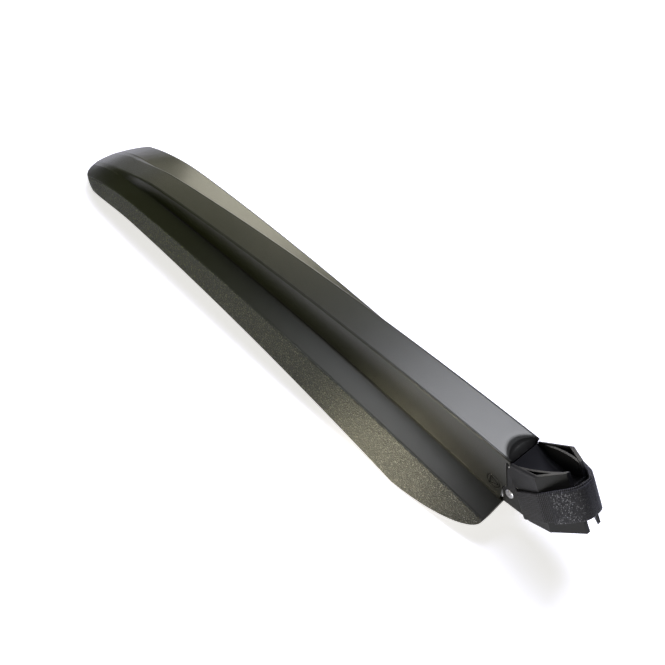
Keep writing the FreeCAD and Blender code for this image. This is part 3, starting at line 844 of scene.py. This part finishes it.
def make_floor():
    """A flat sheet of paper at the height on which the guard stands."""
    mesh = bmesh.new()
    bmesh.ops.create_grid(mesh, x_segments=1, y_segments=1, size=PAPER_SIZE)
    data = bpy.data.meshes.new("floor")
    mesh.to_mesh(data)
    mesh.free()
    data.materials.append(paper_material())
    floor = bpy.data.objects.new("floor", data)
    bpy.context.scene.collection.objects.link(floor)
    print("floor", 2 * PAPER_SIZE, "m wide")


make_floor()

# %% [markdown]
# The air round the guard is a dim grey that fills the shadows a little, and the camera sees plain white
# there. A large white sheet behind the guard would be another way, but it would light the dark plastic
# too, and the Is Camera Ray output keeps the two apart.

# %% The surround
SURROUND_GREY = (0.05, 0.05, 0.05, 1)


def make_world():
    """A dim grey surround for light, and plain white where the camera sees it directly."""
    world = bpy.data.worlds.new("world")
    bpy.context.scene.world = world
    world.use_nodes = True
    nodes, links = world.node_tree.nodes, world.node_tree.links
    nodes.clear()
    path = nodes.new("ShaderNodeLightPath")
    soft = nodes.new("ShaderNodeBackground")
    soft.inputs["Color"].default_value = SURROUND_GREY
    white = nodes.new("ShaderNodeBackground")
    white.inputs["Color"].default_value = (1, 1, 1, 1)
    choose = nodes.new("ShaderNodeMixShader")
    out = nodes.new("ShaderNodeOutputWorld")
    links.new(path.outputs["Is Camera Ray"], choose.inputs[0])
    links.new(soft.outputs[0], choose.inputs[1])
    links.new(white.outputs[0], choose.inputs[2])
    links.new(choose.outputs[0], out.inputs["Surface"])
    print("world has", len(nodes), "nodes")


make_world()

# %% [markdown]
# Black plastic shows its lamps more than its colour, so each face of the guard needs a lamp near the
# place that it mirrors to the camera. A cool key lamp on the far side and a high lamp above light the
# flat top, warm lamps low behind the tail light the tail and the far wing, and small low lamps on the
# near side light the skirt and the bracket. The brightest patch, on the near front lobe, comes from one
# lamp with a narrow soft cone.

# %% Square lamps
FRONT_AIM = Vector((0.15, 0, 0.05))
TAIL_AIM = Vector((-0.12, 0, 0.03))
SKIRT_AIM = Vector((0.138, -0.035, 0.02))
LOBE_AIM = Vector((0.128, -0.035, 0.003))
EAR_AIM = Vector((0.215, 0, 0.045))
COOL = (0.94, 0.955, 1.3)
WARM = (1, 0.955, 0.88)
NEUTRAL = (1, 1, 1)

# Each row is a name, an aim, a direction from there, a distance, a size, a power and a colour.
SQUARE_LAMPS = [
    ("key lamp", FRONT_AIM, (-0.2, 0.44, 0.88), 0.9, 0.5, 8.0, COOL),
    ("high lamp", FRONT_AIM, (-0.38, 0.1, 0.92), 0.9, 0.35, 1.45, COOL),
    ("tail lamp", TAIL_AIM, (-0.64, 0.7, 0.32), 0.9, 0.35, 1.9, WARM),
    ("low tail lamp", TAIL_AIM, (-0.8, 0.42, 0.3), 0.9, 0.25, 0.22, WARM),
    ("back lamp", TAIL_AIM, (-0.5, 0.85, 0.22), 0.9, 0.35, 0.6, WARM),
    ("skirt lamp", SKIRT_AIM, (-0.335, -0.93, 0.12), 0.5, 0.15, 0.72, WARM),
    ("ear lamp", EAR_AIM, (0.5, -0.78, 0.08), 0.6, 0.2, 0.95, NEUTRAL),
]


def place_lamp(name, data, aim, direction, distance):
    """Puts a lamp in a direction from what it lights and turns it there."""
    lamp = bpy.data.objects.new(name, data)
    offset = Vector(direction).normalized() * distance
    lamp.location = aim + offset
    lamp.rotation_euler = (-offset).to_track_quat("-Z", "Y").to_euler()
    bpy.context.scene.collection.objects.link(lamp)
    return lamp


for name, aim, direction, distance, size, power, color in SQUARE_LAMPS:
    data = bpy.data.lights.new(name, "AREA")
    data.shape = "SQUARE"
    data.size = size
    data.energy = power
    data.color = color
    lamp = place_lamp(name, data, aim, direction, distance)
    lamp.visible_camera = False
print(len(SQUARE_LAMPS), "square lamps")

# %% The lobe's own lamp
LOBE_CONE = math.radians(13)
LOBE_POWER = 30.0
LOBE_LIGHT = (1, 0.92, 0.84)
LOBE_DIRECTION = (-0.335, -0.93, 0.1)
LOBE_DISTANCE = 0.5
LOBE_LAMP_RADIUS = 0.03

lobe_light = bpy.data.lights.new("lobe lamp", "SPOT")
lobe_light.color = LOBE_LIGHT
lobe_light.spot_size = LOBE_CONE
lobe_light.spot_blend = 1
lobe_light.shadow_soft_size = LOBE_LAMP_RADIUS
lobe_light.energy = LOBE_POWER
place_lamp("lobe lamp", lobe_light, LOBE_AIM, LOBE_DIRECTION, LOBE_DISTANCE)
print("lobe lamp cone", round(math.degrees(LOBE_CONE)), "degrees")

# %% [markdown]
# The camera stands where the photograph was taken from. Its place and turn were fitted to the guard's
# outline, as a place beside the hinge pin, a look direction and a direction to the right. The lens
# follows from the focal length in pixels, because the sensor's width stands for the picture's width.

# %% The camera
CAMERA_PLACE = PIN + Vector((151.80, -263.66, 427.34)) * MM
CAMERA_LOOK = Vector((-0.52293, 0.44053, -0.72971))
CAMERA_RIGHT = Vector((0.65325, 0.75707, -0.01109))
FOCAL_PIXELS = 925.36
IMAGE_PIXELS = 665
SENSOR = 36.0


def make_camera():
    """A camera at the photograph's place and angle."""
    look = CAMERA_LOOK.normalized()
    right = (CAMERA_RIGHT - look * CAMERA_RIGHT.dot(look)).normalized()
    up = right.cross(look)
    turn = Matrix((right, up, -look)).transposed()
    data = bpy.data.cameras.new("camera")
    data.sensor_width = SENSOR
    data.lens = SENSOR * FOCAL_PIXELS / IMAGE_PIXELS
    camera = bpy.data.objects.new("camera", data)
    camera.matrix_world = Matrix.Translation(CAMERA_PLACE) @ turn.to_4x4()
    bpy.context.scene.collection.objects.link(camera)
    bpy.context.scene.camera = camera
    print("camera lens", round(data.lens, 1), "mm")


make_camera()
bpy.context.scene.view_settings.view_transform = "Standard"
